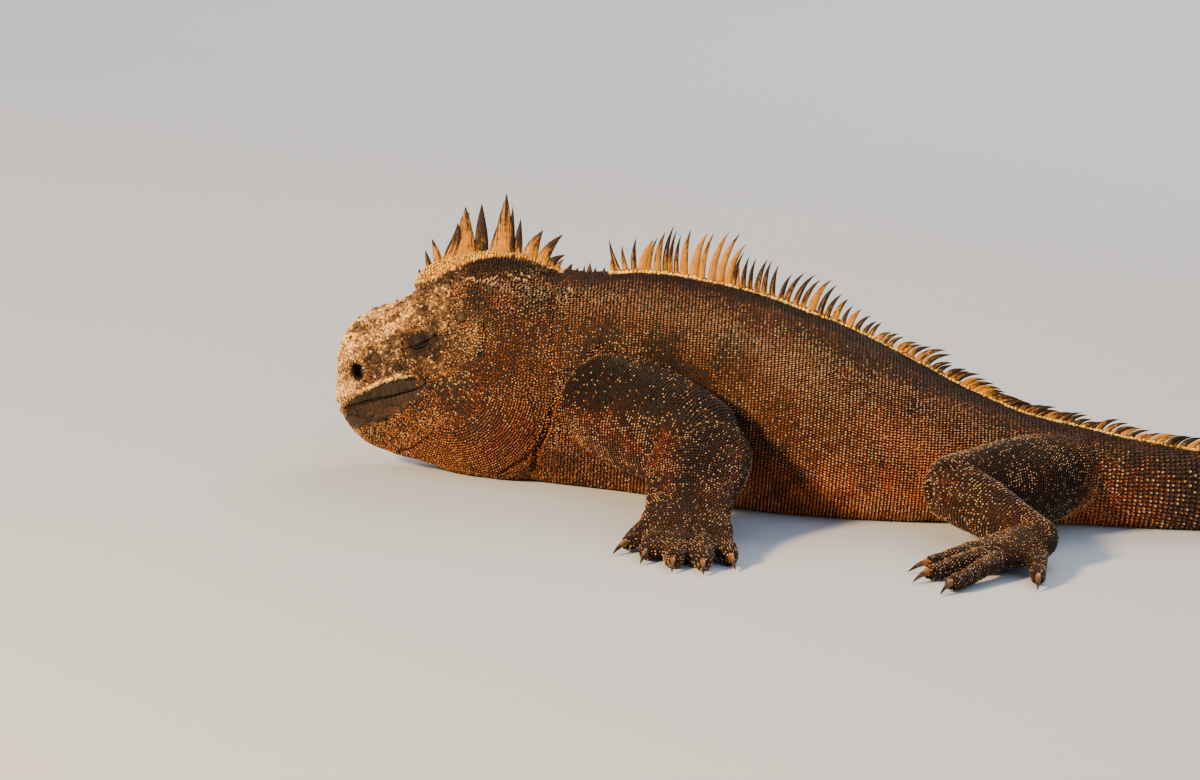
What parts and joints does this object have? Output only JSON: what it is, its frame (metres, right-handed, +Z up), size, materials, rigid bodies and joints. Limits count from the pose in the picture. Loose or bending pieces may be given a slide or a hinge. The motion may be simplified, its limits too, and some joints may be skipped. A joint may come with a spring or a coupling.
{
  "type": "marine iguana",
  "caption": "Still, life-size model of a basking marine iguana, lying with its chin and belly on the floor, spiny crest along its back.",
  "frame": {"origin": "on the floor, on the flat under the chest, midway between the shoulders", "axes": "+X along the body towards the root of the tail, -Y towards the animal's left side, +Z up"},
  "size_m": [0.9045, 0.4446, 0.1407],
  "materials": {
    "head_skin": "matt cast skin, pinkish grey with raised scutes",
    "throat_skin": "satin cast skin, rust brown with cream specks",
    "body_skin": "satin cast skin, dark brown with rust patches and cream specks",
    "tail_skin": "satin cast skin, dark brown with faint bands",
    "limb_skin": "satin cast skin, blackish brown with cream specks",
    "crest": "horn-like spines, tan to orange with dark tips",
    "claw": "polished brown horn",
    "eye": "polished dark brown glass eye"
  },
  "bodies": {
    "root": {"head": "head_skin", "jaw": "throat_skin", "neck": "throat_skin", "torso": "body_skin", "tail_1": "tail_skin", "tail_2": "tail_skin", "tail_3": "tail_skin", "tail_4": "tail_skin", "tail_5": "tail_skin", "left_upper_arm": "limb_skin", "left_forearm": "limb_skin", "left_hand": "limb_skin", "right_upper_arm": "limb_skin", "right_forearm": "limb_skin", "right_hand": "limb_skin", "left_thigh": "limb_skin", "left_shin": "limb_skin", "left_foot": "limb_skin", "right_thigh": "limb_skin", "right_shin": "limb_skin", "right_foot": "limb_skin", "eye_left": "eye", "eye_right": "eye"}
  },
  "joints": []
}
